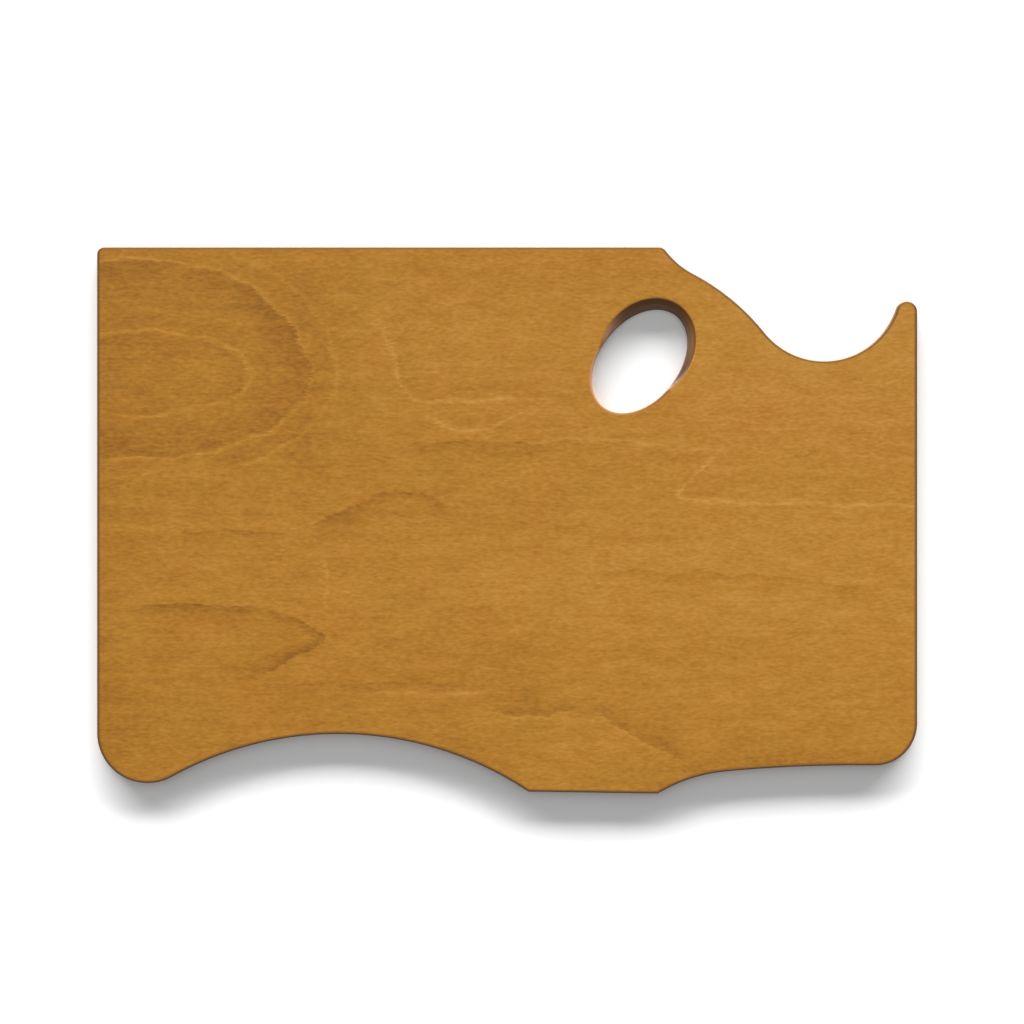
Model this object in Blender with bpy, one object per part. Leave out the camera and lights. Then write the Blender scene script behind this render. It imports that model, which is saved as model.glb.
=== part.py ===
"""Hand-held painter's mixing palette, cut from one sheet of five-ply plywood.

The sheet is glued up from five veneers, then sawn to its outline, bored for the thumb, bevelled on the
painting face where the base of the thumb lies, and sanded round every rim. Each veneer is its own solid.
Metres, +Z out of the painting face, +X along the palette's length and +Y towards the straight edge that
the forearm notch is cut into. The origin is on the back face, under the middle of the sheet.
"""

import math

import bmesh
import bpy
from mathutils import Vector

# The sheet
WIDTH = 0.4572
DEPTH = 0.3048
FACE_VENEER = 0.0006
CROSSBAND = 0.0012
CORE = 0.0012
GLUE_LINE = 0.0003
THICKNESS = 2 * FACE_VENEER + 2 * CROSSBAND + CORE + 4 * GLUE_LINE
RIM_EASE = 0.001

# Left end: a nearly square top corner and a round bottom corner
SQUARE_CORNER_RADIUS = 0.0040
LEFT_CORNER_RADIUS = 0.0281

# Bottom edge: the hollow that rests against the body, the flat tab beside it, and the long shallow hollow
# that a quicker curve brings down to the tab
BELLY_RISE = 0.0332
TAB_FROM_RIGHT = 0.1446
TAB_LENGTH = 0.0722
TAB_TILT = 0.0011
FLICK_RADIUS = 0.0904
LONG_HOLLOW_RADIUS = 0.787
LONG_HOLLOW_FROM_RIGHT = 0.0336
RIGHT_SIDE_RISE = 0.0157
RIGHT_CORNER_RADIUS = 0.0237

# Top right: the forearm notch with its horn, and the S-shaped edge that leads up to the straight top
TIP_RADIUS = 0.0058
TIP_DROP = 0.0302
NOTCH_DEPTH = 0.0635
NOTCH_RADIUS = 0.0428
SHOULDER_RADIUS = 0.1254
SCOOP_RADIUS = 0.0468
SCOOP_FROM_RIGHT = 0.1031
SCOOP_ABOVE_TOP = 0.0266
BROW_RADIUS = 0.0050

# Thumb hole: an ellipse whose long axis leans towards the top right
THUMB_FROM_RIGHT = 0.1545
THUMB_FROM_TOP = 0.0635
THUMB_LENGTH = 0.0648
THUMB_WIDTH = 0.0440
THUMB_LEAN = math.radians(51)

# Thumb bevel: an elliptical countersink with the hole's lean, set off towards the top right. Its slope is
# how far it spreads for each metre of height, and it stops above the back veneer.
BEVEL_SHIFT = 0.0077
BEVEL_SHIFT_BEARING = math.radians(59)
BEVEL_LENGTH = 0.0600
BEVEL_WIDTH = 0.0500
BEVEL_SLOPE = 1.25
BEVEL_STOP = FACE_VENEER + GLUE_LINE / 2

# Fineness of the facets: how far a chord may lie inside its curve
CHORD_ERROR = 0.00005
RIM_FACETS = 1
SHARP_ANGLE = math.radians(35)
CUTTER_MARGIN = 0.002

FACE_COLOUR = (0.47, 0.21, 0.032, 1.0)
CROSSBAND_COLOUR = (0.27, 0.12, 0.030, 1.0)
CORE_COLOUR = (0.36, 0.17, 0.042, 1.0)
VARNISHED_ROUGHNESS = 0.42
SANDED_ROUGHNESS = 0.60


def clear_scene():
    """Removes whatever the scene holds."""
    for item in list(bpy.data.objects):
        bpy.data.objects.remove(item, do_unlink=True)


def new_collection(name):
    """A collection linked to the scene."""
    collection = bpy.data.collections.new(name)
    bpy.context.scene.collection.children.link(collection)
    return collection


def wood(name, colour, roughness):
    """A Principled BSDF material for one veneer."""
    material = bpy.data.materials.new(name)
    material.use_nodes = True
    shader = material.node_tree.nodes["Principled BSDF"]
    shader.inputs["Base Color"].default_value = colour
    shader.inputs["Roughness"].default_value = roughness
    shader.inputs["Metallic"].default_value = 0.0
    material.diffuse_color = colour
    return material


def bearing(start, end):
    """The direction from one point to another, as an angle from +X."""
    return math.atan2(end.y - start.y, end.x - start.x)


def facets(radius):
    """How many chords a full circle of this radius takes."""
    return math.ceil(math.pi / math.acos(1 - CHORD_ERROR / radius))


def arc(centre, radius, start, end, turn):
    """Points along a circle between two bearings, anticlockwise where turn is 1, clockwise where it is -1."""
    sweep = turn * ((turn * (end - start)) % math.tau)
    steps = max(2, math.ceil(facets(radius) * abs(sweep) / math.tau))
    angles = [start + sweep * step / steps for step in range(steps + 1)]
    return [centre + radius * Vector((math.cos(angle), math.sin(angle))) for angle in angles]


def centre_at(first, first_reach, second, second_reach, side):
    """The point at one distance from first and another from second. On the way from first to second it
    lies to the left where side is 1, and to the right where side is -1."""
    way = second - first
    along = (way.length_squared + first_reach**2 - second_reach**2) / (2 * way.length)
    across = side * math.sqrt(first_reach**2 - along**2)
    way.normalize()
    return first + along * way + across * Vector((-way.y, way.x))


def bottom_edge(left, right, bottom):
    """The bottom edge from the left corner to the right corner: hollows and corners meet in tangents."""
    tab_right = Vector((right - TAB_FROM_RIGHT, bottom))
    tab_left = tab_right + Vector((-TAB_LENGTH, TAB_TILT))

    # The body hollow is highest halfway between the left corner's centre and the tab.
    corner_x = left + LEFT_CORNER_RADIUS
    half_span = (tab_left.x - corner_x) / 2
    rise = bottom + BELLY_RISE - tab_left.y
    belly_radius = (half_span**2 + rise**2) / (2 * rise)
    belly = Vector((corner_x + half_span, bottom + BELLY_RISE - belly_radius))
    corner_height = math.sqrt((belly_radius + LEFT_CORNER_RADIUS) ** 2 - half_span**2)
    left_corner = Vector((corner_x, belly.y + corner_height))

    right_corner = Vector((right - RIGHT_CORNER_RADIUS, bottom + RIGHT_SIDE_RISE + RIGHT_CORNER_RADIUS))
    long_x = right - LONG_HOLLOW_FROM_RIGHT
    long_reach = LONG_HOLLOW_RADIUS + RIGHT_CORNER_RADIUS
    long_drop = math.sqrt(long_reach**2 - (right_corner.x - long_x) ** 2)
    long_hollow = Vector((long_x, right_corner.y - long_drop))
    flick = centre_at(long_hollow, LONG_HOLLOW_RADIUS - FLICK_RADIUS, tab_right, FLICK_RADIUS, -1)

    belly_start = bearing(belly, left_corner)
    long_start = bearing(long_hollow, flick)
    long_end = bearing(long_hollow, right_corner)
    points = arc(left_corner, LEFT_CORNER_RADIUS, math.pi, belly_start + math.pi, 1)
    points += arc(belly, belly_radius, belly_start, bearing(belly, tab_left), -1)
    points += arc(flick, FLICK_RADIUS, bearing(flick, tab_right), long_start, -1)
    points += arc(long_hollow, LONG_HOLLOW_RADIUS, long_start, long_end, -1)
    points += arc(right_corner, RIGHT_CORNER_RADIUS, long_end + math.pi, 0.0, 1)
    return points


def forearm_edge(right, top):
    """The edge from the horn's tip round the forearm notch and up the S to the straight top edge."""
    tip = Vector((right - TIP_RADIUS, top - TIP_DROP - TIP_RADIUS))
    notch_y = top - NOTCH_DEPTH + NOTCH_RADIUS
    notch_reach = NOTCH_RADIUS + TIP_RADIUS
    notch = Vector((tip.x - math.sqrt(notch_reach**2 - (notch_y - tip.y) ** 2), notch_y))
    scoop = Vector((right - SCOOP_FROM_RIGHT, top + SCOOP_ABOVE_TOP))
    shoulder = centre_at(notch, NOTCH_RADIUS + SHOULDER_RADIUS, scoop, SCOOP_RADIUS + SHOULDER_RADIUS, 1)
    brow_y = top - BROW_RADIUS
    brow_reach = SCOOP_RADIUS + BROW_RADIUS
    brow = Vector((scoop.x - math.sqrt(brow_reach**2 - (scoop.y - brow_y) ** 2), brow_y))

    points = arc(tip, TIP_RADIUS, 0.0, bearing(tip, notch), 1)
    points += arc(notch, NOTCH_RADIUS, bearing(notch, tip), bearing(notch, shoulder), -1)
    points += arc(shoulder, SHOULDER_RADIUS, bearing(shoulder, notch), bearing(shoulder, scoop), 1)
    points += arc(scoop, SCOOP_RADIUS, bearing(scoop, shoulder), bearing(scoop, brow), -1)
    points += arc(brow, BROW_RADIUS, bearing(brow, scoop), math.pi / 2, 1)
    return points


def outline():
    """The palette's outline, anticlockwise from its top left corner."""
    right = WIDTH / 2
    top = DEPTH / 2
    square_corner = Vector((SQUARE_CORNER_RADIUS - right, top - SQUARE_CORNER_RADIUS))
    points = arc(square_corner, SQUARE_CORNER_RADIUS, math.pi / 2, math.pi, 1)
    points += bottom_edge(-right, right, -top)
    points += forearm_edge(right, top)
    return without_repeats(points)


def without_repeats(points):
    """The points of a closed outline, with one point where two stretches meet."""
    return [point for place, point in enumerate(points) if (point - points[place - 1]).length > CHORD_ERROR]


def thumb_centre():
    """The middle of the thumb hole."""
    return Vector((WIDTH / 2 - THUMB_FROM_RIGHT, DEPTH / 2 - THUMB_FROM_TOP))


def thumb_hole():
    """The outline of the thumb hole."""
    across = Vector((-math.sin(THUMB_LEAN), math.cos(THUMB_LEAN)))
    along = Vector((math.cos(THUMB_LEAN), math.sin(THUMB_LEAN)))
    steps = facets(THUMB_LENGTH / 2)
    points = []
    for step in range(steps):
        angle = math.tau * step / steps
        reach = along * math.cos(angle) * THUMB_LENGTH / 2
        points.append(thumb_centre() + reach + across * math.sin(angle) * THUMB_WIDTH / 2)
    return points


def add_loop(curve, points):
    """Adds a closed run of straight chords to a curve."""
    loop = curve.splines.new("POLY")
    loop.points.add(len(points) - 1)
    for place, point in zip(loop.points, points):
        place.co = (point.x, point.y, 0.0, 1.0)
    loop.use_cyclic_u = True


def blank_mesh():
    """The whole sheet as one mesh: sawn, bored and with its rims eased, but not yet split into veneers."""
    curve = bpy.data.curves.new("palette_blank", "CURVE")
    curve.dimensions = "2D"
    curve.fill_mode = "BOTH"
    curve.extrude = THICKNESS / 2 - RIM_EASE
    curve.bevel_depth = RIM_EASE
    curve.bevel_resolution = RIM_FACETS
    curve.offset = -RIM_EASE
    add_loop(curve, outline())
    add_loop(curve, thumb_hole())
    drawing = bpy.data.objects.new("palette_blank", curve)
    bpy.context.scene.collection.objects.link(drawing)
    drawing.location.z = THICKNESS / 2
    bpy.context.view_layer.update()

    evaluated = drawing.evaluated_get(bpy.context.evaluated_depsgraph_get())
    mesh = bpy.data.meshes.new_from_object(evaluated)
    mesh.transform(drawing.matrix_world)
    bpy.data.objects.remove(drawing, do_unlink=True)
    shell = bmesh.new()
    shell.from_mesh(mesh)
    bmesh.ops.remove_doubles(shell, verts=shell.verts, dist=CHORD_ERROR / 10)
    bmesh.ops.recalc_face_normals(shell, faces=shell.faces)
    shell.to_mesh(mesh)
    shell.free()
    return mesh


def add_cutter(cutters, name, mesh):
    """A helper object that only cuts: it isn't rendered."""
    cutter = bpy.data.objects.new(name, mesh)
    cutters.objects.link(cutter)
    cutter.hide_render = True
    cutter.display_type = "WIRE"
    return cutter


def slab_cutter(cutters, name, low, high):
    """A slab wider than the sheet, between two heights."""
    mesh = bpy.data.meshes.new(name)
    box = bmesh.new()
    bmesh.ops.create_cube(box, size=1.0)
    size = (WIDTH + 2 * CUTTER_MARGIN, DEPTH + 2 * CUTTER_MARGIN, high - low)
    bmesh.ops.scale(box, vec=size, verts=box.verts)
    bmesh.ops.translate(box, vec=(0.0, 0.0, (low + high) / 2), verts=box.verts)
    box.to_mesh(mesh)
    box.free()
    return add_cutter(cutters, name, mesh)


def thumb_bevel_cutter(cutters):
    """An elliptical cone, point down, whose section at the painting face is the bevel's outer rim."""
    name = "thumb_bevel_cutter"
    mean_radius = (BEVEL_LENGTH + BEVEL_WIDTH) / 4
    growth = BEVEL_SLOPE / mean_radius
    low = BEVEL_STOP
    high = THICKNESS + CUTTER_MARGIN
    mesh = bpy.data.meshes.new(name)
    cone = bmesh.new()
    bmesh.ops.create_cone(
        cone,
        cap_ends=True,
        segments=facets(BEVEL_LENGTH / 2),
        radius1=1 - growth * (THICKNESS - low),
        radius2=1 + growth * CUTTER_MARGIN,
        depth=high - low,
    )
    bmesh.ops.scale(cone, vec=(BEVEL_LENGTH / 2, BEVEL_WIDTH / 2, 1.0), verts=cone.verts)
    cone.to_mesh(mesh)
    cone.free()
    cutter = add_cutter(cutters, name, mesh)
    shift = BEVEL_SHIFT * Vector((math.cos(BEVEL_SHIFT_BEARING), math.sin(BEVEL_SHIFT_BEARING)))
    centre = thumb_centre() + shift
    cutter.location = (centre.x, centre.y, (low + high) / 2)
    cutter.rotation_euler.z = THUMB_LEAN
    return cutter


def cut(target, cutter, operation):
    """Adds a Boolean modifier that shapes one object by another."""
    modifier = target.modifiers.new(cutter.name, "BOOLEAN")
    modifier.operation = operation
    modifier.solver = "EXACT"
    modifier.object = cutter


def add_veneer(parts, blank, name, material):
    """One veneer, which starts as the whole sheet and is then cut down to its own layer."""
    mesh = blank.copy()
    mesh.name = name
    mesh.materials.clear()
    mesh.materials.append(material)
    mesh.shade_smooth()
    mesh.set_sharp_from_angle(angle=SHARP_ANGLE)
    veneer = bpy.data.objects.new(name, mesh)
    parts.objects.link(veneer)
    return veneer


def main():
    clear_scene()
    parts = new_collection("mixing_palette")
    cutters = new_collection("cutters")
    layers = (
        ("back_face_veneer", FACE_VENEER, FACE_COLOUR, VARNISHED_ROUGHNESS),
        ("back_crossband", CROSSBAND, CROSSBAND_COLOUR, SANDED_ROUGHNESS),
        ("core_ply", CORE, CORE_COLOUR, SANDED_ROUGHNESS),
        ("front_crossband", CROSSBAND, CROSSBAND_COLOUR, SANDED_ROUGHNESS),
        ("front_face_veneer", FACE_VENEER, FACE_COLOUR, VARNISHED_ROUGHNESS),
    )

    blank = blank_mesh()
    thumb_bevel = thumb_bevel_cutter(cutters)
    height = 0.0
    for name, thickness, colour, roughness in layers:
        veneer = add_veneer(parts, blank, name, wood(name, colour, roughness))
        low = height if height > 0 else -CUTTER_MARGIN
        height += thickness
        high = height if height < THICKNESS - GLUE_LINE else THICKNESS + CUTTER_MARGIN
        cut(veneer, slab_cutter(cutters, name + "_slab", low, high), "INTERSECT")
        if high > BEVEL_STOP:
            cut(veneer, thumb_bevel, "DIFFERENCE")
        height += GLUE_LINE
    bpy.data.meshes.remove(blank)


main()
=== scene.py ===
"""The looks of a painter's mixing palette: one sheet of stained and varnished five-ply plywood.

Each veneer is swept round the sheet's outline and thumb hole by Geometry Nodes, which also round the rims
and sink the thumb bevel. The woods are node materials that read where a point is in the sheet, in metres.
"""

import math

import bpy
from mathutils import Color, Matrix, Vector


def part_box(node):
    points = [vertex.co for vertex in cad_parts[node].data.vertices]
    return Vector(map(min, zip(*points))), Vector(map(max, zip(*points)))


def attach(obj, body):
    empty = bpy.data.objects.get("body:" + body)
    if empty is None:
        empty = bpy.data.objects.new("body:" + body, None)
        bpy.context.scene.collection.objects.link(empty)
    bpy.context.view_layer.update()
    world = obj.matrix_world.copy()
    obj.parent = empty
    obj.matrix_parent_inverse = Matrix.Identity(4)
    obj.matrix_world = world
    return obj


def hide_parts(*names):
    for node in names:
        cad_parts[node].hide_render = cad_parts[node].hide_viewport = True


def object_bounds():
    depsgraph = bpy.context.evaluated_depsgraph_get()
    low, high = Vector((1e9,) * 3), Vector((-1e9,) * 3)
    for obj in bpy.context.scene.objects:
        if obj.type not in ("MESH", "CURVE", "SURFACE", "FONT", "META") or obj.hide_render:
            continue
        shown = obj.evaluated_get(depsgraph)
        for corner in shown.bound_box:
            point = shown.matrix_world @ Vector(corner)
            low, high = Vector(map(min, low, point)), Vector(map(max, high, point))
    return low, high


bl_info = {
    "name": "Mixing Palette",
    "version": (1, 0, 0),
    "blender": (4, 5, 0),
    "location": "3D View > Sidebar > Palette",
    "description": "Builds the veneers of a painter's plywood palette round its CAD frame",
    "category": "Add Mesh",
}

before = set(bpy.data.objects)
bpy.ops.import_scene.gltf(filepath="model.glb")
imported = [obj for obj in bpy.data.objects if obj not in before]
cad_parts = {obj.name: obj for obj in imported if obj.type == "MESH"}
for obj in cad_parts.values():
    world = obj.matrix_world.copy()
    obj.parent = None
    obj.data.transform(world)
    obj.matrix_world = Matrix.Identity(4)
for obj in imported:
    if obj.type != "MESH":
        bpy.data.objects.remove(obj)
CAD_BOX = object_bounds()
SHEET_THICKNESS = CAD_BOX[1].z
PLIES = ("back_face_veneer", "back_crossband", "core_ply", "front_crossband", "front_face_veneer")

# Attributes that the veneer meshes carry from the sweep to their materials
SPOT = "spot"
INTO_WOOD = "into_wood"
BEVEL_REACH = "bevel_reach"
RISE = "rise"
ROUND = "round"
BEVELLED = "bevelled"
FACES_EAST = "faces_east"


def length(name, description, default):
    """A property in metres."""
    return bpy.props.FloatProperty(
        name=name, description=description, default=default, precision=4, subtype="DISTANCE", unit="LENGTH"
    )


def angle(name, description, degrees):
    """A property that is shown in degrees."""
    return bpy.props.FloatProperty(
        name=name, description=description, default=math.radians(degrees), subtype="ANGLE"
    )


def number(name, description, default):
    """A plain factor."""
    return bpy.props.FloatProperty(name=name, description=description, default=default, min=0.0)


def count(name, description, default):
    """A whole number of things."""
    return bpy.props.IntProperty(name=name, description=description, default=default, min=2)


def colour(name, description, default):
    """A linear colour."""
    return bpy.props.FloatVectorProperty(
        name=name, description=description, default=default, size=3, min=0.0, max=1.0, subtype="COLOR"
    )


class PaletteOutline(bpy.types.PropertyGroup):
    """The corners, hollows and notch that the sheet is sawn to."""

    square_corner: length("Square Corner", "Radius of the top left corner", 0.0040)
    left_corner: length("Left Corner", "Radius of the bottom left corner", 0.0281)
    belly_rise: length("Belly Rise", "Height of the body hollow above the bottom", 0.0332)
    tab_from_right: length("Tab From Right", "From the right side to the flat tab", 0.1446)
    tab_length: length("Tab Length", "Length of the flat tab", 0.0722)
    tab_tilt: length("Tab Tilt", "How far the tab rises towards the body hollow", 0.0011)
    flick_radius: length("Flick Radius", "Radius that brings the long hollow down to the tab", 0.0904)
    long_radius: length("Long Hollow Radius", "Radius of the long shallow hollow", 0.787)
    long_from_right: length("Long Hollow From Right", "Where the long hollow is highest", 0.0336)
    right_rise: length("Right Side Rise", "Lowest point of the bottom right corner", 0.0157)
    right_corner: length("Right Corner", "Radius of the bottom right corner", 0.0237)
    tip_radius: length("Tip Radius", "Radius of the horn's tip", 0.0058)
    tip_drop: length("Tip Drop", "From the top edge down to the horn's tip", 0.0302)
    notch_depth: length("Notch Depth", "From the top edge down to the forearm notch", 0.0635)
    notch_radius: length("Notch Radius", "Radius of the forearm notch", 0.0428)
    shoulder_radius: length("Shoulder Radius", "Radius of the swell beside the notch", 0.1254)
    scoop_radius: length("Scoop Radius", "Radius of the hollow below the top edge's end", 0.0468)
    scoop_from_right: length("Scoop From Right", "From the right side to the scoop's centre", 0.1031)
    scoop_above: length("Scoop Above", "From the top edge up to the scoop's centre", 0.0266)
    brow_radius: length("Brow Radius", "Radius where the top edge turns down", 0.0050)
    chord_error: length("Chord Error", "How far a chord may lie inside its curve", 0.000006)
    longest_chord: length("Longest Chord", "Spacing of the points on a straight edge", 0.008)


class PaletteThumb(bpy.types.PropertyGroup):
    """The thumb hole and the bevel where the base of the thumb lies."""

    from_right: length("From Right", "From the right side to the hole's middle", 0.1545)
    from_top: length("From Top", "From the top edge to the hole's middle", 0.0635)
    hole_length: length("Hole Length", "Long axis of the hole", 0.0648)
    hole_width: length("Hole Width", "Short axis of the hole", 0.0440)
    lean: angle("Lean", "Bearing of the long axis", 51)
    bevel_shift: length("Bevel Shift", "From the hole's middle to the bevel's", 0.0077)
    bevel_bearing: angle("Bevel Bearing", "Direction of that shift", 59)
    bevel_length: length("Bevel Length", "Long axis of the bevel at the painting face", 0.0600)
    bevel_width: length("Bevel Width", "Short axis of the bevel at the painting face", 0.0500)
    bevel_slope: number("Bevel Slope", "Spread of the bevel for each metre of height", 1.25)


class PaletteSheet(bpy.types.PropertyGroup):
    """How the veneers meet and how their rims are sanded."""

    rim_ease: length("Rim Ease", "Radius of the sanded rims", 0.0008)
    margin: length("Margin", "Width of the darker stain inside a rim", 0.0013)
    glue_line: length("Glue Line", "Width of the dark line between two veneers", 0.00005)
    recess: length("Recess", "How far sanding sinks the softer inner veneers", 0.00004)
    face_levels: count("Face Levels", "Rings on a face veneer's rim", 14)
    inner_levels: count("Inner Levels", "Rings on an inner veneer", 8)


class PaletteFinish(bpy.types.PropertyGroup):
    """The stain and the varnish."""

    stain: colour("Stain", "The face veneers' middle tone", (0.302, 0.1330, 0.0102))
    dark_grain: colour("Dark Grain", "Late wood and stained pores", (0.178, 0.0645, 0.0021))
    pale_grain: colour("Pale Grain", "Growth lines that take little stain", (0.407, 0.199, 0.0385))
    warm_stain: colour("Warm Stain", "Where the veneer took the stain warmer", (0.3065, 0.1200, 0.0092))
    edge_stain: colour("Edge Stain", "Sawn edges, which drink more stain", (0.154, 0.071, 0.0160))
    end_grain: colour("End Grain", "Sawn across the fibres, where it is darkest", (0.104, 0.046, 0.0100))
    routed_edge: colour("Routed Edge", "The thumb bevel beside the painting face", (0.128, 0.044, 0.0065))
    bare_edge: colour("Bare Edge", "Deep in the thumb bevel, under thin stain", (0.162, 0.096, 0.068))
    # Painted shade, darkening the thumb bevel's lower end
    scorched_edge: colour("Scorched Edge", "The thumb bevel's lower end", (0.026, 0.0105, 0.0042))
    # Painted light, paling the thumb bevel's other end and the hole's wall beside it
    worn_edge: colour("Worn Edge", "Where the thumb hole's stain is thinnest", (0.42, 0.22, 0.12))
    glue: colour("Glue", "Glue that shows between the veneers", (0.045, 0.022, 0.008))
    satin: number("Satin", "Roughness of the varnish on the faces", 0.42)
    sanded: number("Sanded", "Roughness of the sawn edges", 0.58)
    varnish_ior: number("Varnish IOR", "Refractive index of the thin varnish", 1.40)


class PaletteStage(bpy.types.PropertyGroup):
    """The floor, the light and the camera."""

    floor_width: length("Floor Width", "Side of the square floor", 12.0)
    floor_colour: colour("Floor Colour", "Pale matt floor", (0.90, 0.90, 0.90))
    strip_lamps: count("Strip Lamps", "Lamps in the strip light", 7)
    strip_spread: angle("Strip Spread", "From the strip's middle to its ends", 40)
    strip_rise: number("Strip Rise", "Height of the strip for each metre that it is away", 0.20)
    strip_softness: angle("Strip Softness", "Height of the strip as the palette sees it", 16)
    strip_strength: number("Strip Strength", "Irradiance of each lamp", 2.69)
    dome_strength: number("Dome Strength", "Radiance of the light from all round", 0.444)
    backdrop: number("Backdrop", "Radiance of the background behind the floor", 1.0)
    view_centre_x: length("View Centre X", "Middle of the picture", 0.0027)
    view_centre_y: length("View Centre Y", "Middle of the picture", 0.0046)
    view_width: length("View Width", "Width of the picture at the painting face", 0.5706)
    lens: number("Lens", "Focal length in millimetres", 101.0)


# The sheet's outline

FEWEST_CHORDS = 3


def bearing(start, end):
    """The direction from one point to another, as an angle from +X."""
    return math.atan2(end.y - start.y, end.x - start.x)


def facets(radius, chord_error):
    """How many chords a full circle of this radius takes."""
    return math.ceil(math.pi / math.acos(1 - chord_error / radius))


def arc(centre, radius, start, end, turn, chord_error):
    """Points along a circle between two bearings. They run anticlockwise where turn is 1, and clockwise
    where it is -1."""
    sweep = turn * ((turn * (end - start)) % math.tau)
    steps = max(FEWEST_CHORDS, math.ceil(facets(radius, chord_error) * abs(sweep) / math.tau))
    angles = [start + sweep * step / steps for step in range(steps + 1)]
    return [centre + radius * Vector((math.cos(turned), math.sin(turned))) for turned in angles]


def centre_at(first, first_reach, second, second_reach, side):
    """The point at one distance from first and another from second. On the way from first to second it
    lies to the left where side is 1, and to the right where side is -1."""
    way = second - first
    along = (way.length_squared + first_reach**2 - second_reach**2) / (2 * way.length)
    across = side * math.sqrt(first_reach**2 - along**2)
    way.normalize()
    return first + along * way + across * Vector((-way.y, way.x))


def bottom_edge(form, left, right, bottom):
    """The bottom edge from the left corner to the right corner: hollows and corners meet in tangents."""
    tab_right = Vector((right - form.tab_from_right, bottom))
    tab_left = tab_right + Vector((-form.tab_length, form.tab_tilt))

    # The body hollow is highest halfway between the left corner's centre and the tab.
    corner_x = left + form.left_corner
    half_span = (tab_left.x - corner_x) / 2
    rise = bottom + form.belly_rise - tab_left.y
    belly_radius = (half_span**2 + rise**2) / (2 * rise)
    belly = Vector((corner_x + half_span, bottom + form.belly_rise - belly_radius))
    corner_height = math.sqrt((belly_radius + form.left_corner) ** 2 - half_span**2)
    left_corner = Vector((corner_x, belly.y + corner_height))

    right_corner = Vector((right - form.right_corner, bottom + form.right_rise + form.right_corner))
    long_x = right - form.long_from_right
    long_drop = math.sqrt((form.long_radius + form.right_corner) ** 2 - (right_corner.x - long_x) ** 2)
    long_hollow = Vector((long_x, right_corner.y - long_drop))
    flick = centre_at(long_hollow, form.long_radius - form.flick_radius, tab_right, form.flick_radius, -1)

    belly_start = bearing(belly, left_corner)
    long_start = bearing(long_hollow, flick)
    long_end = bearing(long_hollow, right_corner)
    error = form.chord_error
    points = arc(left_corner, form.left_corner, math.pi, belly_start + math.pi, 1, error)
    points += arc(belly, belly_radius, belly_start, bearing(belly, tab_left), -1, error)
    points += arc(flick, form.flick_radius, bearing(flick, tab_right), long_start, -1, error)
    points += arc(long_hollow, form.long_radius, long_start, long_end, -1, error)
    points += arc(right_corner, form.right_corner, long_end + math.pi, 0.0, 1, error)
    return points


def forearm_edge(form, right, top):
    """The edge from the horn's tip round the forearm notch and up the S to the straight top edge."""
    tip = Vector((right - form.tip_radius, top - form.tip_drop - form.tip_radius))
    notch_y = top - form.notch_depth + form.notch_radius
    notch_reach = form.notch_radius + form.tip_radius
    notch = Vector((tip.x - math.sqrt(notch_reach**2 - (notch_y - tip.y) ** 2), notch_y))
    scoop = Vector((right - form.scoop_from_right, top + form.scoop_above))
    shoulder = centre_at(
        notch, form.notch_radius + form.shoulder_radius, scoop, form.scoop_radius + form.shoulder_radius, 1
    )
    brow_y = top - form.brow_radius
    brow_reach = form.scoop_radius + form.brow_radius
    brow = Vector((scoop.x - math.sqrt(brow_reach**2 - (scoop.y - brow_y) ** 2), brow_y))

    error = form.chord_error
    points = arc(tip, form.tip_radius, 0.0, bearing(tip, notch), 1, error)
    points += arc(notch, form.notch_radius, bearing(notch, tip), bearing(notch, shoulder), -1, error)
    shoulder_start = bearing(shoulder, notch)
    points += arc(shoulder, form.shoulder_radius, shoulder_start, bearing(shoulder, scoop), 1, error)
    points += arc(scoop, form.scoop_radius, bearing(scoop, shoulder), bearing(scoop, brow), -1, error)
    points += arc(brow, form.brow_radius, bearing(brow, scoop), math.pi / 2, 1, error)
    return points


def outline(form):
    """The palette's outline, anticlockwise from its top left corner, in the frame's own box."""
    low, high = CAD_BOX
    square_corner = Vector((low.x + form.square_corner, high.y - form.square_corner))
    points = arc(square_corner, form.square_corner, math.pi / 2, math.pi, 1, form.chord_error)
    points += bottom_edge(form, low.x, high.x, low.y)
    points += forearm_edge(form, high.x, high.y)
    return with_even_chords(points, form.chord_error, form.longest_chord)


def with_even_chords(points, chord_error, longest_chord):
    """A closed outline with one point where two stretches meet, and with its straight edges divided."""
    even = []
    for place, point in enumerate(points):
        way = point - points[place - 1]
        if way.length < chord_error:
            continue
        steps = math.ceil(way.length / longest_chord)
        even += [points[place - 1] + way * step / steps for step in range(1, steps + 1)]
    return even


def thumb_axes(thumb):
    """The middle of the thumb hole, the middle of its bevel, and the directions of their two axes."""
    middle = Vector((CAD_BOX[1].x - thumb.from_right, CAD_BOX[1].y - thumb.from_top))
    way = Vector((math.cos(thumb.bevel_bearing), math.sin(thumb.bevel_bearing)))
    along = Vector((math.cos(thumb.lean), math.sin(thumb.lean)))
    across = Vector((-along.y, along.x))
    return middle, middle + thumb.bevel_shift * way, along, across


def thumb_hole(thumb, chord_error):
    """The outline of the thumb hole, clockwise, so that the wood lies to its left as it does all round."""
    middle, _, along, across = thumb_axes(thumb)
    steps = facets(thumb.hole_length / 2, chord_error)
    angles = [-math.tau * step / steps for step in range(steps)]
    long_half = thumb.hole_length / 2 * along
    short_half = thumb.hole_width / 2 * across
    return [middle + long_half * math.cos(turned) + short_half * math.sin(turned) for turned in angles]


def into_the_wood(points):
    """At each point of a closed outline, the vector that carries it to its left, so that both of its chords
    move one metre."""
    found = []
    for place, point in enumerate(points):
        before = (point - points[place - 1]).normalized()
        after = (points[(place + 1) % len(points)] - point).normalized()
        middle = (before + after).normalized()
        found.append(Vector((-middle.y, middle.x)) / middle.dot(before))
    return found


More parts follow.
